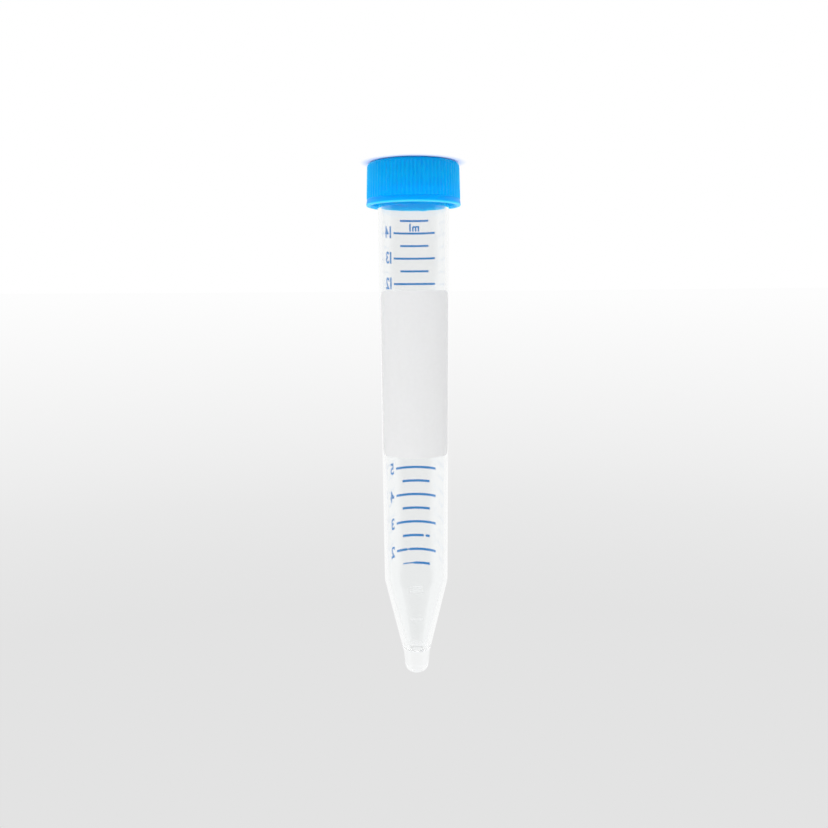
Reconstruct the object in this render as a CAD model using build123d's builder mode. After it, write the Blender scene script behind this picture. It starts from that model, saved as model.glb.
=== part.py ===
from build123d import *

import os
from math import cos, radians, sin, tan

# A 15 ml conical centrifuge tube, closed by its screw cap and standing on its head.
# The origin is the centre of the cap's flat top, which rests on the table. +Z runs up the common axis,
# past the mouth and the tapered body, to the conical tip. Lengths are millimetres, angles degrees.

# ---- Tube: one injection moulding ----
tube_length = 119.2  # mouth to tip
mouth_radius = 8.27  # outside, at the mouth
shoulder_radius = 7.5  # outside, where the body ends and the cone starts
body_wall = 0.81
lip_round = 0.25  # on both edges of the mouth
cone_length = 23.1  # shoulder to tip, outside
shoulder_round = 3.0
stub_length = 5.0  # the blunt stub below the cone
stub_radius = 3.1  # outside, where the cone runs into the stub
stub_end_radius = 2.65  # at the tip, before its rounding
stub_end_round = 2.1
stub_round = 1.5  # where the cone runs into the stub
bore_floor = 5.6  # solid plastic under the bore, nearly the whole stub
bore_end_radius = 2.1  # at its closed end, before the rounding
bore_end_round = 1.6

# ---- Cap: one injection moulding ----
cap_height = 9.7
cap_top = 1.2  # thickness of the top disc
cap_edge_round = 1.1
skirt_wall = 0.99  # over the rib crests, at the top disc
skirt_draft = 1.6  # the outside widens towards the rim
rib_count = 72
rib_depth = 0.26
groove_floor = 0.2  # width of the grooves between the ribs, along their floor
groove_width = 0.55  # and across the rib crests
band_height = 1.6  # plain band at the rim
band_step = 0.14  # the band's upper edge lies this far inside the rib crests
rim_flare = 0.3  # and the rim this far outside the band's upper edge
rim_round = 0.3
rim_lead_in = 0.45

# ---- Plug seal: the ring under the cap's top disc that goes into the mouth ----
plug_depth = 3.0
plug_wall = 0.8
plug_end_round = 0.35

# ---- Fits between tube and cap ----
thread_room = 1.2  # radial room between the neck and the skirt, for both threads
plug_clearance = 0.1  # radial, between the plug seal and the mouth

# ---- Worked out from the above ----
mouth_z = cap_top  # the lip seats on the underside of the top disc
tip_z = mouth_z + tube_length
shoulder_z = tip_z - cone_length
stub_z = tip_z - stub_length
bore_end_z = tip_z - bore_floor
mouth_bore_radius = mouth_radius - body_wall
shoulder_bore_radius = shoulder_radius - body_wall

skirt_bore_radius = mouth_radius + thread_room
cap_radius = skirt_bore_radius + skirt_wall
band_z = cap_height - band_height
skirt_radius = cap_radius + band_z * tan(radians(skirt_draft))
band_radius = skirt_radius - band_step
rim_radius = band_radius + rim_flare
groove_reach = 2 * rib_depth  # the groove's cutter stands this high, so its flanks carry on past the crests
groove_reach_width = 2 * groove_width - groove_floor
plug_end_z = cap_top + plug_depth
plug_radius = mouth_bore_radius - plug_clearance
plug_bore_radius = plug_radius - plug_wall


def outline(*corners):
    """Draws half of a turned piece's section, from corners given as (radius, z, corner round)."""
    points = [(radius, z) for radius, z, corner_round in corners]
    rounds = [corner_round for radius, z, corner_round in corners]
    FilletPolyline(*points, radius=rounds, close=True)


# ---- Tube ----
with BuildPart() as tube:
    with BuildSketch(Plane.XZ):
        with BuildLine():
            outline(
                # outside, from the tip down to the mouth
                (0, tip_z, 0),
                (stub_end_radius, tip_z, stub_end_round),
                (stub_radius, stub_z, stub_round),
                (shoulder_radius, shoulder_z, shoulder_round),
                (mouth_radius, mouth_z, lip_round),
                # inside, from the mouth up to the closed end
                (mouth_bore_radius, mouth_z, lip_round),
                (shoulder_bore_radius, shoulder_z, shoulder_round),
                (bore_end_radius, bore_end_z, bore_end_round),
                (0, bore_end_z, 0),
            )
        make_face()
    revolve(axis=Axis.Z)
tube.part.label = "tube"

# ---- Screw cap ----
# One flat-sided groove between two ribs. It follows the skirt's draft at a constant depth, starts on
# the plain band and runs out on the rounded edge of the top. The section's own y points outwards.
groove_plane = Plane(
    origin=(cap_radius - rib_depth, 0, 0),
    x_dir=(0, -1, 0),
    z_dir=(sin(radians(skirt_draft)), 0, cos(radians(skirt_draft))),
)
with BuildPart() as groove:
    with BuildSketch(groove_plane):
        with BuildLine():
            Polyline(
                (groove_floor / 2, 0),
                (groove_reach_width / 2, groove_reach),
                (-groove_reach_width / 2, groove_reach),
                (-groove_floor / 2, 0),
                close=True,
            )
        make_face()
    extrude(amount=band_z / cos(radians(skirt_draft)))

with BuildPart() as screw_cap:
    with BuildSketch(Plane.XZ):
        with BuildLine():
            outline(
                # outside, from the flat top up to the rim
                (0, 0, 0),
                (cap_radius, 0, cap_edge_round),
                (skirt_radius, band_z, 0),
                (band_radius, band_z, 0),
                (rim_radius, cap_height, rim_round),
                # inside, from the rim down to the top disc and round the plug seal
                (skirt_bore_radius + rim_lead_in, cap_height, 0),
                (skirt_bore_radius, cap_height - rim_lead_in, 0),
                (skirt_bore_radius, cap_top, 0),
                (plug_radius, cap_top, 0),
                (plug_radius, plug_end_z, plug_end_round),
                (plug_bore_radius, plug_end_z, plug_end_round),
                (plug_bore_radius, cap_top, 0),
                (0, cap_top, 0),
            )
        make_face()
    revolve(axis=Axis.Z)
    with PolarLocations(0, rib_count):
        add(groove.part, mode=Mode.SUBTRACT)
screw_cap.part.label = "screw_cap"

# ---- Files: one for each piece ----
os.makedirs("parts", exist_ok=True)
for piece in (tube, screw_cap):
    export_step(piece.part, f"parts/{piece.part.label}.step")
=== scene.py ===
import math
from functools import partialmethod

import bpy
from bpy.props import FloatProperty, FloatVectorProperty, IntProperty, PointerProperty
from mathutils import Matrix, Vector


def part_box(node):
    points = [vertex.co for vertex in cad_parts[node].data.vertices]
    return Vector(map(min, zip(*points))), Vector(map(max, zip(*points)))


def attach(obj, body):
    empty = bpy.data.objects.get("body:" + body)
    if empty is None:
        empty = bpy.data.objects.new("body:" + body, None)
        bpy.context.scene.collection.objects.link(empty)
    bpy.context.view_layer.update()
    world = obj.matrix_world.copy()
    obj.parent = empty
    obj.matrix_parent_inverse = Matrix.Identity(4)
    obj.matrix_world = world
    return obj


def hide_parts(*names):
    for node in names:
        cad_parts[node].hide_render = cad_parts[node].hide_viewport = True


bl_info = {
    "name": "Conical Centrifuge Tube",
    "version": (1, 0, 0),
    "blender": (4, 5, 0),
    "location": "View3D > Sidebar > Tube",
    "description": "A 15 ml conical tube with its screw cap, printed scale and write-on patch",
    "category": "Add Mesh",
}

# The frame stands the closed tube on its head: the cap's flat top is on the floor, +Z runs up to the tip,
# the write-on patch faces -Y and the printed scale faces +Y. Heights on the tube are measured from the tip.
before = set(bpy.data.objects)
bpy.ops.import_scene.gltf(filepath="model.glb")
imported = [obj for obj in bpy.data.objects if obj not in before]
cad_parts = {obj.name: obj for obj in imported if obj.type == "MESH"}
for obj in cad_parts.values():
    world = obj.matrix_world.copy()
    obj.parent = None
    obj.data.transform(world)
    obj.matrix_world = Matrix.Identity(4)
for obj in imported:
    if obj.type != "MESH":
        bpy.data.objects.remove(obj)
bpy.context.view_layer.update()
TUBE_LOW, TUBE_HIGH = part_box("tube")
CAP_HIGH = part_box("screw_cap")[1]

MM = 0.001
MILLILITRE = 1e-6  # in cubic metres
SAME_POINT = 0.001 * MM  # points nearer than this are one
SHARP_EDGE = math.radians(35)


def length(name, description, default_mm):
    """A length property, written here in millimetres."""
    return FloatProperty(name=name, description=description, default=default_mm * MM, unit="LENGTH", precision=5)


def degrees(name, description, default):
    """An angle property, written here in degrees."""
    return FloatProperty(name=name, description=description, default=math.radians(default), subtype="ANGLE")


def millilitres(name, description, default):
    """A volume property, in millilitres."""
    return FloatProperty(name=name, description=f"{description}, in ml", default=default)


def fraction(name, description, default):
    """A property that is a share of something else."""
    return FloatProperty(name=name, description=description, default=default, min=0, max=1)


def colour(name, description, hex_code):
    """A colour property, written here as an sRGB hex value."""
    return FloatVectorProperty(name=name, description=description, subtype="COLOR", size=4, min=0, max=1,
                               default=linear(hex_code))


def linear(hex_code):
    """An sRGB hex value such as "2A6FB0" as the linear RGBA that shaders work in."""
    channels = [int(hex_code[i:i + 2], 16) / 255 for i in (0, 2, 4)]
    return tuple(c / 12.92 if c <= 0.04045 else ((c + 0.055) / 1.055) ** 2.4 for c in channels) + (1.0,)


# ---------------------------------------------------------------------------------------------- sizes

class TubeSizes(bpy.types.PropertyGroup):
    """The moulded tube: a tapered wall, a cone and a solid blunt stub"""
    shoulder_radius: length("Shoulder radius", "Outside, where the body ends and the cone starts", 7.5)
    wall: length("Wall", "Thickness of the body's wall", 0.81)
    lip_round: length("Lip round", "Rounding of both edges of the mouth", 0.25)
    cone_length: length("Cone length", "Outside, from shoulder to tip", 23.1)
    shoulder_round: length("Shoulder round", "Rounding where body and cone meet", 3.0)
    stub_length: length("Stub length", "The blunt stub below the cone", 5.0)
    stub_radius: length("Stub radius", "Outside, where the cone runs into the stub", 3.1)
    stub_round: length("Stub round", "Rounding where the cone runs into the stub", 1.5)
    stub_end_radius: length("Stub end radius", "Outside, at the tip", 2.65)
    stub_end_round: length("Stub end round", "Rounding of the tip", 2.1)
    bore_floor: length("Bore floor", "Solid plastic between the bore and the tip", 5.6)
    bore_end_radius: length("Bore end radius", "The bore at its closed end", 2.1)
    bore_end_round: length("Bore end round", "Rounding of the bore's closed end", 1.6)
    columns: IntProperty(name="Columns", description="Faces round the tube", default=256, min=32)
    mark_relief: length("Mark relief", "How far the moulded volume marks stand out of the cone", 0.1)
    mark_half_height: length("Mark half height", "Half the width of a moulded line", 0.3)
    mark_half_arc: length("Mark half arc", "Half the length of a moulded line", 1.9)
    one_ml_height: length("1 ml height", "Middle of the two moulded 1 ml lines, above the tip", 18.1)
    one_ml_gap: length("1 ml gap", "Between the two moulded 1 ml lines", 1.1)
    half_ml_height: length("0.5 ml height", "The moulded 0.5 ml line, above the tip", 11.2)


class ThreadSizes(bpy.types.PropertyGroup):
    """The right-handed thread on the neck and the one that faces it in the cap"""
    pitch: length("Pitch", "Rise in one turn", 3.0)
    neck_height: length("Neck ridge height", "How far the ridge stands out of the neck", 0.75)
    cap_height: length("Cap ridge height", "How far the ridge stands into the cap", 0.85)
    base: length("Base", "Half the ridge's width at its foot", 0.66)
    crest: length("Crest", "Half the ridge's width at its top", 0.24)
    neck_start: length("Neck start", "Where the neck's ridge starts, from the mouth", 1.4)
    neck_end: length("Neck end", "Where the neck's ridge ends, from the mouth", 6.6)
    cap_start: length("Cap start", "Where the cap's ridge starts, from the cap's top", 4.1)
    cap_end: length("Cap end", "Where the cap's ridge ends, from the cap's top", 8.0)
    fade: length("Fade", "Rise over which a ridge's end runs out", 0.35)


class CapSizes(bpy.types.PropertyGroup):
    """The ribbed screw cap with its plug seal"""
    top: length("Top", "Thickness of the top disc", 1.2)
    edge_round: length("Edge round", "Rounding of the top's edge", 1.1)
    radius: length("Radius", "Over the rib crests, at the top disc", 10.46)
    draft: degrees("Draft", "The skirt widens towards the rim", 1.6)
    bore_radius: length("Bore radius", "Inside of the skirt", 9.47)
    rib_count: IntProperty(name="Ribs", description="Grip ribs round the skirt", default=72, min=8)
    rib_depth: length("Rib depth", "Depth of the grooves between the ribs", 0.15)
    rib_columns: IntProperty(name="Rib columns", description="Faces across one rib and its groove", default=10, min=6)
    groove_floor: fraction("Groove floor", "Share of the rib spacing that a groove's floor takes", 0.2)
    groove_width: fraction("Groove width", "Share of the rib spacing that a groove takes at the crests", 0.8)
    band_height: length("Band height", "Plain band at the rim", 1.6)
    band_step: length("Band step", "The band's upper edge lies this far inside the rib crests", 0.075)
    band_groove: length("Band groove", "Depth of the fine groove between the ribs and the band", 0.09)
    rim_flare: length("Rim flare", "The rim lies this far outside the band's upper edge", 0.22)
    rim_round: length("Rim round", "Rounding of the rim's outer edge", 0.3)
    lead_in: length("Lead-in", "Bevel on the rim's inner edge", 0.45)
    plug_radius: length("Plug radius", "Outside of the plug seal", 7.36)
    plug_wall: length("Plug wall", "Thickness of the plug seal", 0.8)
    plug_depth: length("Plug depth", "How far the plug seal goes into the mouth", 3.0)
    plug_round: length("Plug round", "Rounding of the plug seal's end", 0.35)


class PrintSizes(bpy.types.PropertyGroup):
    """The pad-printed scale on the back and the write-on patch on the front"""
    first_volume: millilitres("First volume", "The scale's lowest line", 1.5)
    volume_step: millilitres("Volume step", "Between two lines", 0.5)
    line_count: IntProperty(name="Lines", description="Lines on the scale", default=27, min=1)
    first_height: length("First height", "The lowest line, above the tip", 24.6)
    line_width: length("Line width", "Thickness of a printed line", 0.61)
    gap_volume: millilitres("Gap volume", "The line that the ink is worn off in one place", 2.5)
    gap_middle: length("Gap middle", "Middle of that gap, round the wall from the back", -2.4)
    gap_width: length("Gap width", "Width of that gap", 0.5)
    nick_volume: millilitres("Nick volume", "The line that has a fine nick", 2.0)
    nick_middle: length("Nick middle", "Middle of the nick, round the wall from the back", 2.05)
    nick_width: length("Nick width", "Width of the nick", 0.5)
    faint_volume: millilitres("Faint volume", "The line that is worn thin at one end", 1.5)
    faint_middle: length("Faint middle", "Middle of the thin stretch, round the wall from the back", 2.4)
    faint_width: length("Faint width", "Length of the thin stretch", 3.6)
    top_share: fraction("Top share", "Width of the topmost line against the lowest", 0.72)
    long_arc: length("Long arc", "Half the length of a whole-ml line, round the wall", 5.8)
    short_arc: length("Short arc", "Half the length of a half-ml line, round the wall", 3.75)
    scale_shift: length("Scale shift", "The scale's middle lies this far round from the back", -0.15)
    numeral_height: length("Numeral height", "Height of the figures", 2.85)
    numeral_start: length("Numeral start", "Where a figure starts, round the wall from the scale's middle", 6.65)
    numeral_gap: length("Numeral gap", "Between the two digits of a figure", 0.35)
    numeral_drop: length("Numeral drop", "The figures' middle lies this far below their line", -0.13)
    boldness: fraction("Boldness", "How much the figures' strokes are thickened, for a font size of 1", 0.03)
    unit_volume: millilitres("Unit volume", "The line that the unit stands on", 14.0)
    unit_height: length("Unit height", "Height of the tall letter in the unit", 1.9)
    unit_gap: length("Unit gap", "Between that line and the unit", 0.15)
    stand_off: length("Stand-off", "Between the wall and the underside of the ink", 0.012)
    thickness: length("Thickness", "Of the ink", 0.03)
    patch_low: length("Patch low", "Lower edge of the write-on patch, above the tip", 53.7)
    patch_high: length("Patch high", "Upper edge of the write-on patch, above the tip", 91.6)
    patch_arc: length("Patch arc", "Half the patch's width, round the wall", 10.0)
    patch_shift: length("Patch shift", "The patch's middle lies this far round from the front", 0.2)
    patch_round: length("Patch round", "Rounding of the patch's corners", 1.6)


class Finishes(bpy.types.PropertyGroup):
    """Colours of the plastics and inks, with a painted shade and a painted highlight on the cap"""
    polypropylene: colour("Polypropylene", "Clear tube plastic", "F9FAFA")
    cap_blue: colour("Cap blue", "Polyethylene of the cap", "009AFA")
    # painted shade: a darker cap blue for the smooth band below the ribs
    band_blue: colour("Band blue", "The same on the smooth band below the ribs", "008DE6")
    # painted highlight: a lighter cap blue for the rim's rounded edge
    edge_blue: colour("Edge blue", "The same where it is thin, along the rim's edge", "44B0F4")
    scale_blue: colour("Scale blue", "Ink of the printed scale", "106CB8")
    scale_backlit: colour("Scale backlit", "The scale's thin ink with the light behind it", "34C2F0")
    patch_white: colour("Patch white", "Ink of the write-on patch, from either side", "EEEEEE")


class StageSizes(bpy.types.PropertyGroup):
    """Floor, lamps and camera"""
    floor_radius: length("Floor radius", "Round pale floor", 4000)
    lit_radius: length("Lit radius", "The floor shows its own shading out to here", 10.6)
    white_radius: length("White radius", "The floor is plain white from here on", 12.4)
    tent_dimming: fraction("Tent dimming", "How much darker the open front of the white tent is", 0.75)
    fill_strength: FloatProperty(name="Fill strength", description="Light from all sides", default=1.08, min=0)
    lamp_size: length("Lamp size", "Side of each square lamp", 300)
    camera_distance: length("Camera distance", "From the tube's axis", 190)
    camera_height: length("Camera height", "Above the tip when the tube is held upright", 90.06)
    camera_side: length("Camera side", "Along X from the tube's axis", 0.19)
    camera_pitch: degrees("Camera pitch", "Tilt of the view towards the tip", 6.12)
    camera_roll: degrees("Camera roll", "Lean of the tube in the view", 0.43)
    lens: FloatProperty(name="Lens", description="Focal length in mm on a 36 mm sensor", default=35.53)
    shift: FloatProperty(name="Shift", description="Vertical lens shift", default=-0.035)


# each group of sizes by its name on the scene
SETTINGS = {"tube_sizes": TubeSizes, "thread_sizes": ThreadSizes, "cap_sizes": CapSizes, "print_sizes": PrintSizes,
            "tube_finishes": Finishes, "stage_sizes": StageSizes}


# ------------------------------------------------------------------------------------- building blocks

class Output:
    """What a node gives out at one socket. Arithmetic on it adds Math nodes."""

    def __init__(self, socket):
        self.socket = socket

    def step(self, operation, *operands):
        """Adds a Math node that works on this and the operands."""
        return add_node(self.socket.id_data, "ShaderNodeMath", dict(enumerate((self, *operands))),
                        operation=operation)[0]

    __add__ = partialmethod(step, "ADD")
    __sub__ = partialmethod(step, "SUBTRACT")
    __mul__ = partialmethod(step, "MULTIPLY")
    __truediv__ = partialmethod(step, "DIVIDE")
    __pow__ = partialmethod(step, "POWER")
    __abs__ = partialmethod(step, "ABSOLUTE")


class Outputs:
    """All that a node gives out, by the number or name of the socket."""

    def __init__(self, node):
        self.node = node

    def __getitem__(self, key):
        return Output(self.node.outputs[key])


def add_node(tree, kind, inputs=None, **settings):
    """Adds a node and returns its outputs. settings go on the node; inputs maps a socket's name or number to
    a value, to the output that feeds it or to a list of such outputs."""
    node = tree.nodes.new(kind)
    for name, value in settings.items():
        setattr(node, name, value)
    for key, value in (inputs or {}).items():
        for one in value if isinstance(value, list) else [value]:
            if isinstance(one, Output):
                tree.links.new(one.socket, node.inputs[key])
            else:
                node.inputs[key].default_value = one
    return Outputs(node)


def new_tree(name, inputs, output=("Geometry", "NodeSocketGeometry")):
    """An empty geometry node tree with these sockets, and what it is given. An input that is only a name is
    a number."""
    tree = bpy.data.node_groups.new(name, "GeometryNodeTree")
    for item in inputs:
        label, kind = (item, "NodeSocketFloat") if isinstance(item, str) else item
        tree.interface.new_socket(label, in_out="INPUT", socket_type=kind)
    tree.interface.new_socket(output[0], in_out="OUTPUT", socket_type=output[1])
    tree.is_modifier = output[1] == "NodeSocketGeometry"
    return tree, add_node(tree, "NodeGroupInput")


def end_tree(tree, geometry, material):
    """Ends a tree as every piece's tree ends: real instances, sharp edges by angle and the material."""
    angle = add_node(tree, "GeometryNodeInputMeshEdgeAngle")["Unsigned Angle"]
    smooth = add_node(tree, "FunctionNodeCompare", {0: angle, 1: SHARP_EDGE}, operation="LESS_THAN")[0]
    geometry = add_node(tree, "GeometryNodeRealizeInstances", {"Geometry": geometry})[0]
    for domain, shade in (("FACE", True), ("EDGE", smooth)):
        geometry = add_node(tree, "GeometryNodeSetShadeSmooth", {"Geometry": geometry, "Shade Smooth": shade},
                            domain=domain)[0]
    done = add_node(tree, "GeometryNodeSetMaterial", {"Geometry": geometry, "Material": material})[0]
    add_node(tree, "NodeGroupOutput", {0: done})
    return tree


def make_piece(name, mesh, tree, values):
    """Runs a tree on a mesh with these input values and returns an object that holds the plain result."""
    piece = bpy.data.objects.new(name, mesh)
    bpy.context.scene.collection.objects.link(piece)
    modifier = piece.modifiers.new(tree.name, "NODES")
    modifier.node_group = tree
    for socket in tree.interface.items_tree:
        if socket.in_out == "INPUT" and socket.name in values:
            modifier[socket.identifier] = values[socket.name]
    bpy.context.view_layer.update()
    made = bpy.data.meshes.new_from_object(piece.evaluated_get(bpy.context.evaluated_depsgraph_get()))
    made.name = name
    piece.modifiers.clear()
    piece.data = made
    if not made.polygons:
        raise RuntimeError(f"{name} came out empty")
    return piece


def rounded_outline(corners, arc_step=math.radians(10)):
    """The points of a section, from corners given as (radius, z, corner round, longest step of the run that
    follows). Returns (radius, z, number of the corner it belongs to) for each point."""
    points = []
    for i, (radius, z, fillet, step) in enumerate(corners):
        here = Vector((radius, z))
        if fillet:
            back = (Vector(corners[i - 1][:2]) - here).normalized()
            on = (Vector(corners[i + 1][:2]) - here).normalized()
            half = back.angle(on) / 2
            centre = here + (back + on).normalized() * fillet / math.sin(half)
            start, end = here + back * fillet / math.tan(half), here + on * fillet / math.tan(half)
            steps = max(3, math.ceil((math.pi - 2 * half) / arc_step))
            turn = (end - centre).angle_signed(start - centre) / steps
            arc = [centre + Matrix.Rotation(turn * k, 2) @ (start - centre) for k in range(steps + 1)]
        else:
            arc = [here]
        if points:
            last = Vector(points[-1][:2])
            parts = max(1, math.ceil((arc[0] - last).length / corners[i - 1][3] - 1e-6))
            points += [(*last.lerp(arc[0], k / parts), i - 1) for k in range(1, parts)]
        points += [(*p, i) for p in arc]
    return points


def section_mesh(name, points, **weights):
    """A chain of points in the XZ plane, with a number for each point under each name in weights."""
    mesh = bpy.data.meshes.new(name)
    mesh.from_pydata([(radius, 0, z) for radius, z, corner in points],
                     [(i, i + 1) for i in range(len(points) - 1)], [])
    for label, values in weights.items():
        mesh.attributes.new(label, "FLOAT", "POINT").data.foreach_set("value", values)
    return mesh


# ---------------------------------------------------------------------------------- shared node trees

def turned_section_tree(weights):
    """Turns a section about the Z axis. The points keep the section's weights and their angle."""
    tree, given = new_tree("turned_section", [("Geometry", "NodeSocketGeometry"), ("Columns", "NodeSocketInt")])
    section, columns = given["Geometry"], given["Columns"]
    rows = add_node(tree, "GeometryNodeAttributeDomainSize", {"Geometry": section}, component="MESH")["Point Count"]
    across = columns + 1
    grid = add_node(tree, "GeometryNodeMeshGrid", {
        "Size X": 1.0, "Size Y": 1.0, "Vertices X": rows, "Vertices Y": across})["Mesh"]
    index = add_node(tree, "GeometryNodeInputIndex")[0]
    row = (index / across + 1e-4).step("FLOOR")
    angle = (index - row * across) * math.tau / columns
    # a point takes the place and the weights of its row in the section
    place = add_node(tree, "GeometryNodeSampleIndex", {
        "Geometry": section, "Value": add_node(tree, "GeometryNodeInputPosition")[0], "Index": row},
        data_type="FLOAT_VECTOR")[0]
    labelled = {"angle": angle}
    for label in weights:
        read = add_node(tree, "GeometryNodeInputNamedAttribute", {"Name": label})["Attribute"]
        labelled[label] = add_node(tree, "GeometryNodeSampleIndex", {
            "Geometry": section, "Value": read, "Index": row})[0]
    for label, value in labelled.items():
        grid = add_node(tree, "GeometryNodeStoreNamedAttribute", {"Geometry": grid, "Name": label, "Value": value})[0]
    turned = add_node(tree, "ShaderNodeVectorRotate", {"Vector": place, "Angle": angle}, rotation_type="Z_AXIS")[0]
    add_node(tree, "NodeGroupOutput", {
        0: add_node(tree, "GeometryNodeSetPosition", {"Geometry": grid, "Position": turned})[0]})
    return tree


RIDGE_INPUTS = ("Pitch", "Start", "End", "Base", "Crest", "Fade")


def helical_ridge_tree():
    """Height, from 0 to 1, of a right-handed ridge that winds about Z between two levels."""
    labels = ("Angle", "Z", *RIDGE_INPUTS)
    tree, given = new_tree("helical_ridge", labels, output=("Height", "NodeSocketFloat"))
    angle, z, pitch, start, end, base, crest, fade = (given[label] for label in labels)
    # the ridge passes the start level at angle 0, and its nearest turn is the one that counts
    turns = angle / math.tau
    centre = (((z - start) / pitch - turns).step("ROUND") + turns) * pitch + start
    # its section across, its rise out of the wall at one end and its fall at the other
    height = 1.0
    for value, low, high, at_low in (
            (abs(z - centre), crest, base, 1.0), (centre, start, start + fade, 0.0), (centre, end - fade, end, 1.0)):
        height = add_node(tree, "ShaderNodeMapRange", {
            "Value": value, "From Min": low, "From Max": high, "To Min": at_low, "To Max": 1 - at_low},
            interpolation_type="SMOOTHSTEP")[0] * height
    add_node(tree, "NodeGroupOutput", {0: height})
    return tree


def raised_bar_tree():
    """Height, from 0 to 1, of a short bar with soft edges on a round wall."""
    labels = ("Angle", "Z", "Radius", "Centre Angle", "Half Arc", "Centre Z", "Half Height")
    tree, given = new_tree("raised_bar", labels, output=("Height", "NodeSocketFloat"))
    angle, z, radius, centre_angle, half_arc, centre_z, half_height = (given[label] for label in labels)
    height = 1.0
    # the bar is flat over the inner 0.85 of its arc and 0.2 of its height
    for away, half, flat in ((abs(angle - centre_angle) * radius, half_arc, 0.85),
                             (abs(z - centre_z), half_height, 0.2)):
        height = add_node(tree, "ShaderNodeMapRange", {
            "Value": away, "From Min": half * flat, "From Max": half, "To Min": 1.0, "To Max": 0.0},
            interpolation_type="SMOOTHSTEP")[0] * height
    add_node(tree, "NodeGroupOutput", {0: height})
    return tree


def threaded_tree(name, weights, inputs):
    """Begins a tree that turns a section with these weights and adds a thread. Returns the tree, what it is
    given, the turned geometry, the angle and weights by name, the axes of the position and the thread's
    relief."""
    tree, given = new_tree(name, [
        ("Geometry", "NodeSocketGeometry"), ("Columns", "NodeSocketInt"), *RIDGE_INPUTS, "Ridge Height", *inputs,
        ("Material", "NodeSocketMaterial")])
    turned = add_node(tree, "GeometryNodeGroup", {"Geometry": given["Geometry"], "Columns": given["Columns"]},
                      node_tree=turned_section_tree(weights))[0]
    stored = {label: add_node(tree, "GeometryNodeInputNamedAttribute", {"Name": label})["Attribute"]
              for label in ("angle", *weights)}
    axes = add_node(tree, "ShaderNodeSeparateXYZ", {0: add_node(tree, "GeometryNodeInputPosition")[0]})
    ridge = add_node(tree, "GeometryNodeGroup", {
        "Angle": stored["angle"], "Z": axes["Z"], **{label: given[label] for label in RIDGE_INPUTS}},
        node_tree=helical_ridge_tree())[0]
    return tree, given, turned, stored, axes, ridge * given["Ridge Height"]


def thread_values(thread, start, end, height):
    """The threaded trees' inputs for a ridge between two levels."""
    return {"Pitch": thread.pitch, "Start": start, "End": end, "Base": thread.base, "Crest": thread.crest,
            "Fade": thread.fade, "Ridge Height": height}


def pushed_out(tree, geometry, angle, relief):
    """Moves each point away from the axis by its relief, then closes the seam and the poles."""
    offset = add_node(tree, "ShaderNodeCombineXYZ", {
        "X": angle.step("COSINE") * relief, "Y": angle.step("SINE") * relief})[0]
    moved = add_node(tree, "GeometryNodeSetPosition", {"Geometry": geometry, "Offset": offset})[0]
    return add_node(tree, "GeometryNodeMergeByDistance", {"Geometry": moved, "Distance": SAME_POINT})[0]


# ------------------------------------------------------------------------------------------ materials

def new_material(name):
    """An empty node material, its tree and its Object coordinates."""
    material = bpy.data.materials.new(name)
    material.use_nodes = True
    material.node_tree.nodes.clear()
    return material, material.node_tree, add_node(material.node_tree, "ShaderNodeTexCoord")["Object"]


def with_surface(material, kind, inputs):
    """Gives a material its surface, from the last shader's kind and inputs, and returns the material."""
    shader = add_node(material.node_tree, kind, inputs)[0]
    add_node(material.node_tree, "ShaderNodeOutputMaterial", {"Surface": shader})
    return material


def clear_polypropylene(finishes):
    """Injection-moulded clarified polypropylene: see-through, with a surface that is glossy but softly
    uneven, so that reflections are a little broad."""
    material, tree, where = new_material("clear_polypropylene")
    clear = tuple(finishes.polypropylene)
    # flow unevenness of the moulded wall, about 6 mm across
    flow = add_node(tree, "ShaderNodeTexNoise", {"Vector": where, "Scale": 1 / (6 * MM), "Detail": 2.0})["Fac"]
    bump = add_node(tree, "ShaderNodeBump", {"Strength": 0.04, "Distance": 0.02 * MM, "Height": flow})[0]
    glossy = add_node(tree, "ShaderNodeBsdfPrincipled", {
        "Base Color": clear, "Roughness": 0.06, "IOR": 1.49, "Transmission Weight": 1.0, "Normal": bump})[0]
    # the moulded marks are spark-eroded in the mould, so their faces are matt and scatter the light, and the
    # bore's closed end is half matt from the tip of the core pin
    mark, end = (add_node(tree, "ShaderNodeAttribute", attribute_name=part)["Fac"]
                 for part in ("moulded_mark", "bore_end"))
    lit, backlit = (add_node(tree, kind, {"Color": clear})[0]
                    for kind in ("ShaderNodeBsdfDiffuse", "ShaderNodeBsdfTranslucent"))
    matt = add_node(tree, "ShaderNodeMixShader", {0: 0.9, 1: lit, 2: backlit})[0]
    share = (mark * 1.5 + end * 0.6).step("MINIMUM", 1.0)
    plastic = add_node(tree, "ShaderNodeMixShader", {0: share, 1: glossy, 2: matt})[0]
    # shadow rays and scattered light go straight through the wall, and so does what the wall has mirrored to
    # and fro three times
    through = add_node(tree, "ShaderNodeBsdfTransparent", {"Color": (0.97, 0.97, 0.97, 1)})[0]
    path = add_node(tree, "ShaderNodeLightPath")
    caught = path["Glossy Depth"].step("GREATER_THAN", 2.5)
    straight = caught.step("MAXIMUM", path["Is Shadow Ray"]).step("MAXIMUM", path["Is Diffuse Ray"])
    return with_surface(material, "ShaderNodeMixShader", {0: straight, 1: plastic, 2: through})


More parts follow.
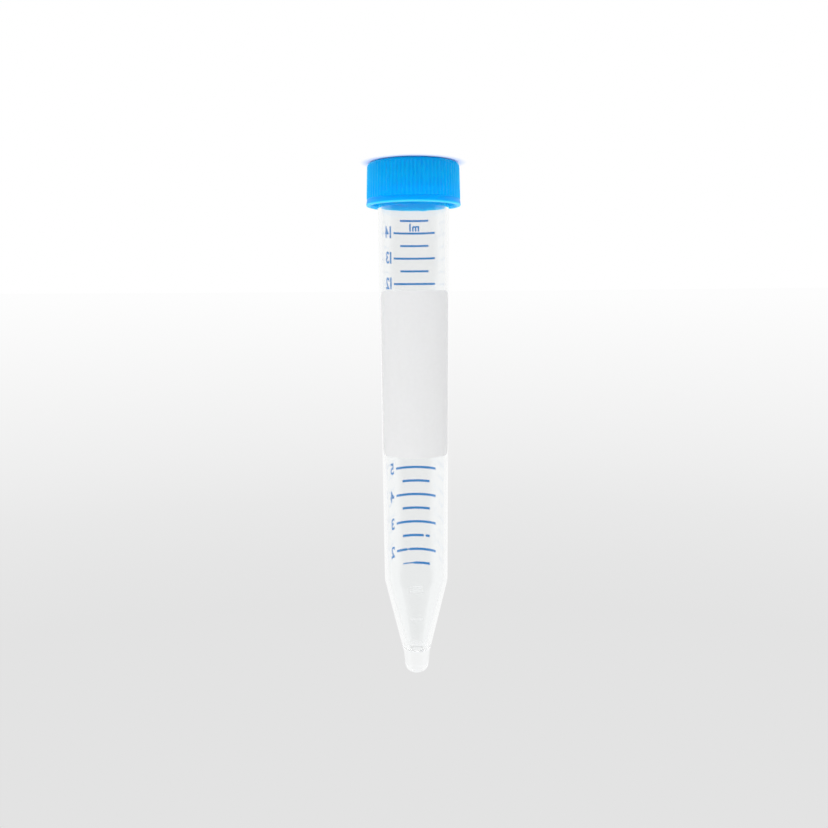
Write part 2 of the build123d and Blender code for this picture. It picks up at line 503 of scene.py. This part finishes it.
def blue_polyethylene(finishes):
    """Injection-moulded polyethylene in a solid light blue: a satin surface with a fine spark-eroded grain,
    and a touch of light under the skin."""
    material, tree, where = new_material("blue_polyethylene")
    # pigment mixes unevenly over about 4 mm, and the mould's grain is about 0.15 mm
    pigment, grain = (add_node(tree, "ShaderNodeTexNoise", {
        "Vector": where, "Scale": 1 / (size * MM), "Detail": detail})["Fac"] for size, detail in ((4, 3), (0.15, 2)))
    shade, rough = (add_node(tree, "ShaderNodeMapRange", {
        "Value": value, "From Min": 0.3, "From Max": 0.7, "To Min": low, "To Max": high})[0]
        for value, low, high in ((pigment, 0.98, 1.02), (grain, 0.36, 0.46)))
    # the smooth band below the ribs gets a darker blue as painted shade, and the rim's rounded edge a lighter blue as a
    # painted highlight
    blue = tuple(finishes.cap_blue)
    for part, other in (("plain_band", finishes.band_blue), ("thin_edge", finishes.edge_blue)):
        here = add_node(tree, "ShaderNodeAttribute", attribute_name=part)["Fac"]
        blue = add_node(tree, "ShaderNodeMix", {"Factor": here, "A": blue, "B": tuple(other)},
                        data_type="RGBA")["Result"]
    tint = add_node(tree, "ShaderNodeHueSaturation", {"Color": blue, "Value": shade})[0]
    bump = add_node(tree, "ShaderNodeBump", {"Strength": 0.15, "Distance": 0.01 * MM, "Height": grain})[0]
    return with_surface(material, "ShaderNodeBsdfPrincipled", {
        "Base Color": tint, "Roughness": rough, "IOR": 1.51, "Specular IOR Level": 0.12, "Normal": bump,
        "Subsurface Weight": 1.0, "Subsurface Radius": (0.1, 0.8, 0.8), "Subsurface Scale": 7 * MM})


def pad_print_ink(name, ink, backlit, roughness, unevenness, through):
    """Pad-printed ink on plastic: a thin satin film that lies a little unevenly and lets this share of the
    light behind it through, in the backlit colour."""
    material, tree, where = new_material(name)
    # the pad leaves patches of about 0.8 mm that are thicker or thinner
    patches = add_node(tree, "ShaderNodeTexNoise", {"Vector": where, "Scale": 1 / (0.8 * MM), "Detail": 3.0})["Fac"]
    shade = add_node(tree, "ShaderNodeMapRange", {
        "Value": patches, "From Min": 0.3, "From Max": 0.7, "To Min": 1 - unevenness, "To Max": 1 + unevenness})[0]
    tint = add_node(tree, "ShaderNodeHueSaturation", {"Color": tuple(ink), "Value": shade})[0]
    film = add_node(tree, "ShaderNodeBsdfPrincipled", {"Base Color": tint, "Roughness": roughness, "IOR": 1.5})[0]
    glow = add_node(tree, "ShaderNodeBsdfTranslucent", {"Color": tuple(backlit)})[0]
    return with_surface(material, "ShaderNodeMixShader", {0: through, 1: film, 2: glow})


# ---------------------------------------------------------------------------------------- tube and cap

def taper(tube):
    """How much the body's radius grows over a unit of height."""
    return (TUBE_HIGH.x - tube.shoulder_radius) / (TUBE_HIGH.z - TUBE_LOW.z - tube.cone_length)


def wall_radius(height, tube):
    """Outside radius of the tapered body at a height above the tip."""
    return tube.shoulder_radius + (height - tube.cone_length) * taper(tube)


class TUBE_OT_make_tube(bpy.types.Operator):
    """Make the clear tube, with the thread on its neck and the moulded marks on its cone"""
    bl_idname = "conical_tube.make_tube"
    bl_label = "Make Tube"

    def execute(self, context):
        tube, thread = context.scene.tube_sizes, context.scene.thread_sizes
        mouth, tip = TUBE_LOW.z, TUBE_HIGH.z
        shoulder, stub = tip - tube.cone_length, tip - tube.stub_length
        bore_end = tip - tube.bore_floor
        cone_slope = (tube.shoulder_radius - tube.stub_radius) / (stub - shoulder)
        # rows lie this close on the marks, on the thread and elsewhere
        finest, fine, coarse = 0.08 * MM, 0.15 * MM, 6 * MM
        # and the fine rows reach this far either side of the 0.5 ml line and of the two 1 ml lines
        mark_rows = []
        for height, reach in ((tube.half_ml_height, 0.8 * MM), (tube.one_ml_height, 1.6 * MM)):
            for z, step in ((tip - height + reach, finest), (tip - height - reach, coarse)):
                mark_rows.append((tube.stub_radius + (stub - z) * cone_slope, z, 0, step))
        neck = [(wall_radius(tip - z, tube), z, 0, step) for z, step in (
            (mouth + thread.neck_end + thread.base, fine), (mouth + thread.neck_start - thread.base, coarse))]
        outside = [
            (0, tip, 0, coarse),
            (tube.stub_end_radius, tip, tube.stub_end_round, coarse),
            (tube.stub_radius, stub, tube.stub_round, coarse),
            *mark_rows,
            (tube.shoulder_radius, shoulder, tube.shoulder_round, coarse),
            *neck,
            (TUBE_HIGH.x, mouth, tube.lip_round, coarse)]
        inside = [
            (TUBE_HIGH.x - tube.wall, mouth, tube.lip_round, coarse),
            (tube.shoulder_radius - tube.wall, shoulder, tube.shoulder_round, coarse),
            (tube.bore_end_radius, bore_end, tube.bore_end_round, coarse),
            (0, bore_end, 0, coarse)]
        points = rounded_outline(outside + inside)
        # the bore's end is what lies beyond the middle of its rounded edge
        ends_at = bore_end - 0.5 * tube.bore_end_round
        section = section_mesh("tube_section", points,
                               outside=[float(corner < len(outside)) for radius, z, corner in points],
                               bore_end=[float(corner >= len(outside) and z > ends_at) for radius, z, corner in points])

        mark_levels = ("Upper Mark Z", "Lower Mark Z", "Half Mark Z")
        tree, given, geometry, stored, axes, ridge = threaded_tree(
            "threaded_tube", ("outside", "bore_end"),
            ("Mark Relief", "Mark Half Height", "Mark Half Arc", *mark_levels))
        x, y, z = axes
        radius = (x * x + y * y).step("SQRT")
        bar_tree, back = raised_bar_tree(), math.pi / 2
        marks = 0.0
        for level in mark_levels:
            marks = add_node(tree, "GeometryNodeGroup", {
                "Angle": stored["angle"], "Z": z, "Radius": radius, "Centre Angle": back, "Centre Z": given[level],
                "Half Arc": given["Mark Half Arc"], "Half Height": given["Mark Half Height"]},
                node_tree=bar_tree)[0] + marks
        marks = marks * stored["outside"]
        relief = marks * given["Mark Relief"] + ridge * stored["outside"]
        marked = add_node(tree, "GeometryNodeStoreNamedAttribute", {
            "Geometry": geometry, "Name": "moulded_mark", "Value": marks})[0]
        end_tree(tree, pushed_out(tree, marked, stored["angle"], relief), given["Material"])

        one_ml = tip - tube.one_ml_height
        piece = make_piece("tube_body", section, tree, {
            **thread_values(thread, mouth + thread.neck_start, mouth + thread.neck_end, thread.neck_height),
            "Columns": tube.columns, "Mark Relief": tube.mark_relief, "Mark Half Height": tube.mark_half_height,
            "Mark Half Arc": tube.mark_half_arc, "Upper Mark Z": one_ml - tube.one_ml_gap / 2,
            "Lower Mark Z": one_ml + tube.one_ml_gap / 2, "Half Mark Z": tip - tube.half_ml_height,
            "Material": clear_polypropylene(context.scene.tube_finishes)})
        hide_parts("tube")
        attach(piece, "tube")
        return {"FINISHED"}


class TUBE_OT_make_cap(bpy.types.Operator):
    """Make the blue screw cap, with its grip ribs, plug seal and inner thread"""
    bl_idname = "conical_tube.make_cap"
    bl_label = "Make Cap"

    def execute(self, context):
        cap, thread = context.scene.cap_sizes, context.scene.thread_sizes
        rim = CAP_HIGH.z
        band = rim - cap.band_height
        slope = math.tan(cap.draft)
        skirt = cap.radius + band * slope
        flare = skirt - cap.band_step
        plug_end, plug_bore = cap.top + cap.plug_depth, cap.plug_radius - cap.plug_wall
        # rows lie this close on the thread and elsewhere
        fine, coarse = 0.16 * MM, 3 * MM
        # the fine groove above the band: both edges of its floor and its lower edge
        floor_start, floor_end, groove_end = (band + reach * MM for reach in (0.02, 0.14, 0.24))
        ribbed = [
            (0, 0, 0, coarse),
            (cap.radius, 0, cap.edge_round, coarse),
            (skirt, band, 0, coarse)]
        banded = [
            (flare - cap.band_groove, floor_start, 0, coarse),
            (flare - cap.band_groove, floor_end, 0, coarse),
            (flare, groove_end, 0, coarse),
            (flare + cap.rim_flare, rim, cap.rim_round, coarse)]
        rim_edge = len(ribbed + banded) - 1
        inside = [
            (cap.bore_radius + cap.lead_in, rim, 0, coarse),
            (cap.bore_radius, rim - cap.lead_in, 0, coarse),
            (cap.bore_radius, thread.cap_end + thread.base, 0, fine),
            (cap.bore_radius, thread.cap_start - thread.base, 0, coarse),
            (cap.bore_radius, cap.top, 0, coarse),
            (cap.plug_radius, cap.top, 0, coarse),
            (cap.plug_radius, plug_end, cap.plug_round, coarse),
            (plug_bore, plug_end, cap.plug_round, coarse),
            (plug_bore, cap.top, 0, coarse),
            (0, cap.top, 0, coarse)]
        points = rounded_outline(ribbed + banded + inside)
        # a groove is as deep as the skirt stands out of its floor, so it runs out on the rounded edge
        floor_at = lambda z: cap.radius - cap.rib_depth + z * slope
        section = section_mesh(
            "cap_section", points,
            groove_depth=[max(0.0, radius - floor_at(z)) if corner < len(ribbed) else 0.0
                          for radius, z, corner in points],
            bore=[float(rim_edge + 3 <= corner <= rim_edge + 4) for radius, z, corner in points],
            # the rim's rounded edge takes the painted highlight
            thin_edge=[float(corner == rim_edge and z > rim - cap.rim_round) for radius, z, corner in points],
            # the band below the ribs takes the painted shade
            plain_band=[float(rim_edge - 1 <= corner <= rim_edge) for radius, z, corner in points])

        tree, given, geometry, stored, axes, ridge = threaded_tree(
            "ribbed_cap", ("groove_depth", "bore", "thin_edge", "plain_band"),
            ("Rib Count", "Groove Floor", "Groove Width"))
        # distance from the nearest groove's middle, as a share of half the rib spacing
        ribs = stored["angle"] * given["Rib Count"] / math.tau
        away = abs(ribs - ribs.step("ROUND")) * 2
        groove = add_node(tree, "ShaderNodeMapRange", {
            "Value": away, "From Min": given["Groove Floor"], "From Max": given["Groove Width"],
            "To Min": -1.0, "To Max": 0.0}, interpolation_type="SMOOTHSTEP")[0]
        relief = groove * stored["groove_depth"] - ridge * stored["bore"]
        end_tree(tree, pushed_out(tree, geometry, stored["angle"], relief), given["Material"])

        piece = make_piece("screw_cap_shell", section, tree, {
            **thread_values(thread, thread.cap_start, thread.cap_end, thread.cap_height),
            "Columns": cap.rib_count * cap.rib_columns, "Rib Count": float(cap.rib_count),
            "Groove Floor": cap.groove_floor, "Groove Width": cap.groove_width,
            "Material": blue_polyethylene(context.scene.tube_finishes)})
        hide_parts("screw_cap")
        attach(piece, "cap")
        return {"FINISHED"}


# ----------------------------------------------------------------------------------------------- print

FILM_INPUTS = ("Tip Z", "Shoulder Height", "Shoulder Radius", "Taper", "Stand-off", "Thickness", "Side")
BACK, FRONT = 1.0, -1.0  # values of Side
BLUE_INK = {"roughness": 0.4, "unevenness": 0.08, "through": 0.75}
WHITE_INK = {"roughness": 0.6, "unevenness": 0.015, "through": 0.42}


def printed_film_tree():
    """Wraps flat artwork on the tapered wall as a thin closed film. Flat X runs round the wall, flat Y is
    the height above the tip."""
    tree, given = new_tree("printed_film", [
        ("Geometry", "NodeSocketGeometry"), *FILM_INPUTS, ("Material", "NodeSocketMaterial")])
    tip, shoulder, shoulder_radius, widening, stand_off, thickness, side = (given[label] for label in FILM_INPUTS)
    real = add_node(tree, "GeometryNodeRealizeInstances", {"Geometry": given["Geometry"]})[0]
    upwards = add_node(tree, "ShaderNodeCombineXYZ", {"Z": thickness})[0]
    raised = add_node(tree, "GeometryNodeExtrudeMesh", {
        "Mesh": real, "Offset": upwards, "Offset Scale": 1.0, "Individual": False}, mode="FACES")["Mesh"]
    under = add_node(tree, "GeometryNodeFlipFaces", {"Mesh": real})[0]
    both = add_node(tree, "GeometryNodeJoinGeometry", {0: [raised, under]})[0]
    closed = add_node(tree, "GeometryNodeMergeByDistance", {"Geometry": both, "Distance": SAME_POINT})[0]
    arc, height, up = add_node(tree, "ShaderNodeSeparateXYZ", {0: add_node(tree, "GeometryNodeInputPosition")[0]})
    wall = (height - shoulder) * widening + shoulder_radius
    turn = arc / wall
    radius = (wall + stand_off + up) * side
    place = add_node(tree, "ShaderNodeCombineXYZ", {
        "X": turn.step("SINE") * radius, "Y": turn.step("COSINE") * radius, "Z": tip - height})[0]
    wrapped = add_node(tree, "GeometryNodeSetPosition", {"Geometry": closed, "Position": place})[0]
    return end_tree(tree, wrapped, given["Material"])


def print_piece(name, flat, scene, side, ink):
    """Makes a printed piece from its flat mesh, on this side of the tube."""
    tube, artwork = scene.tube_sizes, scene.print_sizes
    values = (TUBE_HIGH.z, tube.cone_length, tube.shoulder_radius, taper(tube), artwork.stand_off,
              artwork.thickness, side)
    piece = make_piece(name, flat, printed_film_tree(), {**dict(zip(FILM_INPUTS, values)), "Material": ink})
    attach(piece, "tube")


def line_heights(tube, artwork):
    """The height above the tip of every line, from the bore's volume: the tapered bore between the lowest
    line and a line at height h holds pi / (3 taper) (r(h)^3 - r(low)^3)."""
    widening = taper(tube)
    low = wall_radius(artwork.first_height, tube) - tube.wall
    heights = {}
    for i in range(artwork.line_count):
        held = i * artwork.volume_step
        bore = (low ** 3 + 3 * widening * held * MILLILITRE / math.pi) ** (1 / 3)
        heights[artwork.first_volume + held] = artwork.first_height + (bore - low) / widening
    return heights


LINE_INPUTS = ("First Volume", "Volume Step", "First Height", "Line Width", "Top Share", "Long Arc", "Short Arc",
               "Scale Shift", "Gap Volume", "Gap Middle", "Gap Width", "Nick Volume", "Nick Middle", "Nick Width",
               "Faint Volume", "Faint Middle", "Faint Width")
WORN = {"Gap": 0.85, "Nick": 0.6, "Faint": 0.5}  # share of a line's width that is worn off in each place


def scale_lines_tree():
    """Lays the lines of the scale out flat, with the places where the ink is worn."""
    tree, given = new_tree("scale_lines", [
        ("Geometry", "NodeSocketGeometry"), ("Line Count", "NodeSocketInt"), "First Bore Radius", "Taper",
        *LINE_INPUTS])
    low, widening, lines = given["First Bore Radius"], given["Taper"], given["Line Count"]
    first, step = given["First Volume"], given["Volume Step"]
    held = add_node(tree, "GeometryNodeInputIndex")[0] * step
    bore = (low ** 3.0 + held * (widening * (3 * MILLILITRE / math.pi))) ** (1 / 3)
    level = (bore - low) / widening + given["First Height"]
    line = add_node(tree, "GeometryNodeMeshLine", {"Count": lines}, mode="OFFSET")[0]
    place = add_node(tree, "ShaderNodeCombineXYZ", {"X": given["Scale Shift"], "Y": level})[0]
    rungs = add_node(tree, "GeometryNodeSetPosition", {"Geometry": line, "Position": place})[0]
    for label, value in (("volume", held + first), ("middle", level)):
        rungs = add_node(tree, "GeometryNodeStoreNamedAttribute", {
            "Geometry": rungs, "Name": label, "Value": value})[0]
    volume, middle = (add_node(tree, "GeometryNodeInputNamedAttribute", {"Name": label})["Attribute"]
                      for label in ("volume", "middle"))
    # a whole number of ml has a long line, and each line has enough columns to bend round the wall
    strips = []
    for arc, operation in (("Long Arc", "LESS_THAN"), ("Short Arc", "GREATER_THAN")):
        strip = add_node(tree, "GeometryNodeMeshGrid", {
            "Size X": given[arc] * 2, "Size Y": given["Line Width"], "Vertices X": 49, "Vertices Y": 3})["Mesh"]
        chosen = add_node(tree, "FunctionNodeCompare", {0: volume.step("FRACT"), 1: 0.25}, operation=operation)[0]
        strips.append(add_node(tree, "GeometryNodeInstanceOnPoints", {
            "Points": rungs, "Selection": chosen, "Instance": strip})[0])
    joined = add_node(tree, "GeometryNodeJoinGeometry", {0: strips})[0]
    real = add_node(tree, "GeometryNodeRealizeInstances", {"Geometry": joined})[0]
    # where the ink is worn, a line keeps only a share of its width, and none of it in the gap; the worn places
    # have soft ends, which take a quarter of their half width either way
    x, y, z = add_node(tree, "ShaderNodeSeparateXYZ", {0: add_node(tree, "GeometryNodeInputPosition")[0]})
    worn = {}
    for label in WORN:
        inside = add_node(tree, "ShaderNodeMapRange", {
            "Value": abs(x - given[f"{label} Middle"]) * 2 / given[f"{label} Width"], "From Min": 0.75,
            "From Max": 1.25, "To Min": 1.0, "To Max": 0.0}, interpolation_type="SMOOTHSTEP")[0]
        worn[label] = volume.step("COMPARE", given[f"{label} Volume"], 0.1) * inside
    gone = add_node(tree, "FunctionNodeCompare", {0: worn["Gap"], 1: 0.99}, operation="GREATER_THAN")[0]
    gap, nick, faint = (worn[label] * -lost for label, lost in WORN.items())
    kept = gap + nick + faint + 1.0
    # and the pad prints the lines finer towards the cap
    finer = (volume - first) / step / lines * (given["Top Share"] - 1) + 1
    place = add_node(tree, "ShaderNodeCombineXYZ", {"X": x, "Y": (y - middle) * (finer * kept) + middle})[0]
    narrowed = add_node(tree, "GeometryNodeSetPosition", {"Geometry": real, "Position": place})[0]
    broken = add_node(tree, "GeometryNodeDeleteGeometry", {"Geometry": narrowed, "Selection": gone}, domain="FACE")[0]
    add_node(tree, "NodeGroupOutput", {0: broken})
    return tree


class TUBE_OT_make_scale_lines(bpy.types.Operator):
    """Make the printed lines of the scale, a long one for each ml and a short one between"""
    bl_idname = "conical_tube.make_scale_lines"
    bl_label = "Make Scale Lines"

    def execute(self, context):
        scene = context.scene
        tube, artwork, finishes = scene.tube_sizes, scene.print_sizes, scene.tube_finishes
        point = bpy.data.meshes.new("scale_lines_flat")
        point.from_pydata([(0, 0, 0)], [], [])
        flat = make_piece("scale_lines", point, scale_lines_tree(), {
            **{label: getattr(artwork, label.lower().replace(" ", "_")) for label in LINE_INPUTS},
            "Line Count": artwork.line_count, "Taper": taper(tube),
            "First Bore Radius": wall_radius(artwork.first_height, tube) - tube.wall})
        lines = flat.data
        bpy.data.objects.remove(flat)
        ink = pad_print_ink("scale_blue_ink", finishes.scale_blue, finishes.scale_backlit, **BLUE_INK)
        print_piece("scale_lines", lines, scene, BACK, ink)
        return {"FINISHED"}


TALL_GLYPH = 0.7  # height of a digit in the built-in font, for a size of 1
GLYPH_MIDDLE = 0.341  # height of a digit's middle above the line it stands on


def flat_text(body, height, boldness, gap):
    """The flat mesh points and faces of a line of figures or letters. Each glyph stands beside the last at
    this gap, from X 0 on, and the tallest reaches this height. Returns the line's width as well."""
    points, faces, x = [], [], 0.0
    scale = height / (TALL_GLYPH + 2 * boldness)
    for glyph in body:
        text = bpy.data.curves.new("glyph", "FONT")
        text.body, text.offset, text.resolution_u = glyph, boldness, 6
        shape = bpy.data.objects.new("glyph", text)
        bpy.context.scene.collection.objects.link(shape)
        bpy.context.view_layer.update()
        mesh = bpy.data.meshes.new_from_object(shape.evaluated_get(bpy.context.evaluated_depsgraph_get()))
        bpy.data.objects.remove(shape)
        left, right = min(v.co.x for v in mesh.vertices), max(v.co.x for v in mesh.vertices)
        faces += [tuple(i + len(points) for i in polygon.vertices) for polygon in mesh.polygons]
        points += [(x + (v.co.x - left) * scale, (v.co.y - GLYPH_MIDDLE) * scale, 0) for v in mesh.vertices]
        x += (right - left) * scale + gap
    return points, faces, x - gap


class TUBE_OT_make_figures(bpy.types.Operator):
    """Make the scale's figures, 2 to 14, and its unit"""
    bl_idname = "conical_tube.make_figures"
    bl_label = "Make Figures"

    def execute(self, context):
        scene = context.scene
        artwork, finishes = scene.print_sizes, scene.tube_finishes
        heights = line_heights(scene.tube_sizes, artwork)
        above_line = artwork.line_width / 2 + artwork.unit_gap + artwork.unit_height / 2
        # each line of text with its height, its left edge or None to put its middle on the scale's, and its level
        texts = [(str(int(held)), artwork.numeral_height, artwork.numeral_start, level - artwork.numeral_drop)
                 for held, level in heights.items() if held == int(held)]
        texts.append(("ml", artwork.unit_height, None, heights[artwork.unit_volume] + above_line))
        points, faces = [], []
        for body, height, left, level in texts:
            more, its_faces, width = flat_text(body, height, artwork.boldness, artwork.numeral_gap)
            left = artwork.scale_shift + (-width / 2 if left is None else left)
            faces += [tuple(i + len(points) for i in face) for face in its_faces]
            points += [(left + x, level + y, z) for x, y, z in more]
        mesh = bpy.data.meshes.new("figures_flat")
        mesh.from_pydata(points, [], faces)
        ink = pad_print_ink("figure_blue_ink", finishes.scale_blue, finishes.scale_backlit, **BLUE_INK)
        print_piece("scale_figures", mesh, scene, BACK, ink)
        return {"FINISHED"}


class TUBE_OT_make_patch(bpy.types.Operator):
    """Make the white patch on the front that takes a pencil or a marker"""
    bl_idname = "conical_tube.make_patch"
    bl_label = "Make Write-on Patch"

    def execute(self, context):
        scene = context.scene
        artwork, finishes = scene.print_sizes, scene.tube_finishes
        left, right = artwork.patch_shift - artwork.patch_arc, artwork.patch_shift + artwork.patch_arc
        low, high, fillet = artwork.patch_low, artwork.patch_high, artwork.patch_round
        columns, corner_rows, side_rows = 64, 8, 8
        # rows follow the rounded corners at both ends, and each row is as wide as the patch is there
        rises = [fillet * (1 - math.cos(math.pi / 2 * k / corner_rows)) for k in range(corner_rows + 1)]
        insets = [fillet - math.sqrt(max(0, fillet ** 2 - (fillet - rise) ** 2)) for rise in rises]
        rows = [(low + rise, inset) for rise, inset in zip(rises, insets)]
        rows += [(low + (high - low) * k / side_rows, 0) for k in range(1, side_rows)]
        rows += [(high - rise, inset) for rise, inset in zip(rises[::-1], insets[::-1])]
        points = [(left + inset + (right - left - 2 * inset) * k / columns, height, 0)
                  for height, inset in rows for k in range(columns + 1)]
        starts = [row * (columns + 1) + k for row in range(len(rows) - 1) for k in range(columns)]
        faces = [(i, i + 1, i + columns + 2, i + columns + 1) for i in starts]
        mesh = bpy.data.meshes.new("patch_flat")
        mesh.from_pydata(points, [], faces)
        ink = pad_print_ink("patch_white_ink", finishes.patch_white, finishes.patch_white, **WHITE_INK)
        print_piece("write_on_patch", mesh, scene, FRONT, ink)
        return {"FINISHED"}


# ----------------------------------------------------------------------------------------------- stage

def dim_in_front(tree, value, front, back, dimming, first=0):
    """Strength of the white tent. It is open at the front, towards -Y, so what any surface mirrors from there
    is dim. What shines straight through, or was mirrored to and fro, is not. The value runs from front to
    back, and first is the depth that a ray straight from the camera has here."""
    ahead = add_node(tree, "ShaderNodeMapRange", {
        "Value": value, "From Min": front, "From Max": back, "To Min": 1.0, "To Max": 0.0},
        interpolation_type="SMOOTHSTEP")[0]
    path = add_node(tree, "ShaderNodeLightPath")
    mirrored = path["Ray Depth"] - first - path["Transmission Depth"] - path["Diffuse Depth"]
    return mirrored.step("COMPARE", 1.0, 0.5) * ahead * -dimming + 1.0


def make_floor(scene, stage):
    """A round floor, white far away and lit like paper near the tube, so that it keeps the shadow."""
    corners = 96
    ring = [math.tau * k / corners for k in range(corners)]
    mesh = bpy.data.meshes.new("floor")
    mesh.from_pydata([(stage.floor_radius * math.cos(a), stage.floor_radius * math.sin(a), 0) for a in ring], [],
                     [tuple(range(corners))])
    floor = bpy.data.objects.new("floor", mesh)
    scene.collection.objects.link(floor)
    paper, tree, where = new_material("white_paper_sweep")
    path = add_node(tree, "ShaderNodeLightPath")
    seen = path["Is Camera Ray"].step("MAXIMUM", path["Is Glossy Ray"]).step("MAXIMUM", path["Is Transmission Ray"])
    away = add_node(tree, "ShaderNodeVectorMath", {0: where}, operation="LENGTH")["Value"]
    far = add_node(tree, "ShaderNodeMapRange", {
        "Value": away, "From Min": stage.lit_radius, "From Max": stage.white_radius},
        interpolation_type="SMOOTHSTEP")[0]
    lit = add_node(tree, "ShaderNodeBsdfDiffuse", {"Color": linear("FAFAFA")})[0]
    # the floor's front part, from 15 mm before the tube's axis and in full at 50 mm, belongs to the open front
    along = add_node(tree, "ShaderNodeSeparateXYZ", {0: where})["Y"]
    plain = add_node(tree, "ShaderNodeEmission", {
        "Color": (1, 1, 1, 1), "Strength": dim_in_front(tree, along, -50 * MM, -15 * MM, stage.tent_dimming)})[0]
    mesh.materials.append(with_surface(paper, "ShaderNodeMixShader", {0: seen * far, 1: lit, 2: plain}))


BACKDROP = ((0.0, "FDFDFD"), (0.052, "F9F9F9"), (0.104, "F5F5F5"), (0.191, "EEEEEE"), (0.244, "E9E9E9"),
            (0.308, "E5E5E5"), (0.356, "E3E3E3"))  # sine of the height above the horizon, and the grey there


def make_surroundings(scene, stage):
    """The backdrop, from white at the floor to pale grey overhead. What shines through the tube or off it is
    the white tent round the table."""
    world = bpy.data.worlds.new("studio")
    scene.world = world
    world.use_nodes = True
    tree = world.node_tree
    tree.nodes.clear()
    path = add_node(tree, "ShaderNodeLightPath")
    towards = add_node(tree, "ShaderNodeSeparateXYZ", {0: add_node(tree, "ShaderNodeTexCoord")["Generated"]})
    ramp = add_node(tree, "ShaderNodeValToRGB", {0: towards["Z"]})
    greys = ramp.node.color_ramp.elements
    while len(greys) < len(BACKDROP):
        greys.new(0.5)
    for element, (at, grey) in zip(greys, BACKDROP):
        element.position, element.color = at, linear(grey)
    tent = path["Is Glossy Ray"].step("MAXIMUM", path["Is Transmission Ray"])
    # the tent is open within 45 degrees of -Y, and closes over the next 33
    bright = dim_in_front(tree, towards["Y"], -0.7, -0.2, stage.tent_dimming, first=1)
    white = (1, 1, 1, 1)
    fill, around, shown = (
        add_node(tree, "ShaderNodeBackground", {"Color": shade, "Strength": strength})[0]
        for shade, strength in ((white, stage.fill_strength), (white, bright), (ramp[0], 1.0)))
    mixed = fill
    for share, other in ((tent, around), (path["Is Camera Ray"], shown)):
        mixed = add_node(tree, "ShaderNodeMixShader", {0: share, 1: mixed, 2: other})[0]
    add_node(tree, "ShaderNodeOutputWorld", {"Surface": mixed})


# each lamp's place in m, and its power in W
LAMPS = {"key_lamp": ((0.21, -0.38, 0.06), 0.40), "top_lamp": ((-0.05, -0.10, 0.42), 0.08),
         "back_lamp": ((-0.14, 0.36, 0.16), 0.18)}


def make_lamps(scene, stage):
    """Square lamps that face the tube's middle. They don't show in the clear wall themselves."""
    for name, (place, power) in LAMPS.items():
        lamp = bpy.data.lights.new(name, "AREA")
        lamp.shape, lamp.size, lamp.energy = "SQUARE", stage.lamp_size, power
        holder = bpy.data.objects.new(name, lamp)
        scene.collection.objects.link(holder)
        holder.location = place
        holder.visible_glossy = holder.visible_transmission = False
        aim = Vector((0, 0, TUBE_HIGH.z / 2)) - holder.location
        holder.rotation_euler = aim.to_track_quat("-Z", "Y").to_euler()


def make_camera(scene, stage):
    """The camera hangs upside down, so that the view shows the cap at the top."""
    camera = bpy.data.objects.new("camera", bpy.data.cameras.new("camera"))
    scene.collection.objects.link(camera)
    camera.data.lens, camera.data.sensor_width, camera.data.shift_y = stage.lens, 36, stage.shift
    camera.data.clip_start, camera.data.clip_end = 1 * MM, 5 * stage.floor_radius
    pitch, roll = stage.camera_pitch, stage.camera_roll
    forward = Vector((0, math.cos(pitch), math.sin(pitch)))
    upright, right = Vector((0, math.sin(pitch), -math.cos(pitch))), Vector((-1, 0, 0))
    up = upright * math.cos(roll) + right * math.sin(roll)
    across = right * math.cos(roll) - upright * math.sin(roll)
    place = Vector((stage.camera_side, -stage.camera_distance, TUBE_HIGH.z - stage.camera_height))
    camera.matrix_world = Matrix.Translation(place) @ Matrix((across, up, -forward)).transposed().to_4x4()
    scene.camera = camera


class TUBE_OT_make_stage(bpy.types.Operator):
    """Make the floor, the backdrop, the studio lamps and the camera"""
    bl_idname = "conical_tube.make_stage"
    bl_label = "Make Stage"

    def execute(self, context):
        for part in (make_floor, make_surroundings, make_lamps, make_camera):
            part(context.scene, context.scene.stage_sizes)
        context.scene.view_settings.view_transform = "Standard"
        return {"FINISHED"}


# ------------------------------------------------------------------------------------------------ panel

OPERATORS = (TUBE_OT_make_tube, TUBE_OT_make_cap, TUBE_OT_make_scale_lines, TUBE_OT_make_figures, TUBE_OT_make_patch,
             TUBE_OT_make_stage)


class VIEW3D_PT_conical_tube(bpy.types.Panel):
    """Lists the tube's sizes and the operators that make its pieces"""
    bl_label = "Conical Tube"
    bl_space_type = "VIEW_3D"
    bl_region_type = "UI"
    bl_category = "Tube"

    def draw(self, context):
        for operator in OPERATORS:
            self.layout.operator(operator.bl_idname)
        for label in SETTINGS:
            group = getattr(context.scene, label)
            box = self.layout.box()
            for prop in group.bl_rna.properties:
                if prop.identifier in group.__annotations__:
                    box.prop(group, prop.identifier)


CLASSES = (*SETTINGS.values(), *OPERATORS, VIEW3D_PT_conical_tube)


def register():
    for cls in CLASSES:
        bpy.utils.register_class(cls)
    for label, group in SETTINGS.items():
        setattr(bpy.types.Scene, label, PointerProperty(type=group))


def unregister():
    for label in SETTINGS:
        delattr(bpy.types.Scene, label)
    for cls in reversed(CLASSES):
        bpy.utils.unregister_class(cls)


def main():
    register()
    bpy.ops.conical_tube.make_tube()
    bpy.ops.conical_tube.make_cap()
    bpy.ops.conical_tube.make_scale_lines()
    bpy.ops.conical_tube.make_figures()
    bpy.ops.conical_tube.make_patch()
    bpy.ops.conical_tube.make_stage()


if __name__ == "__main__":
    main()
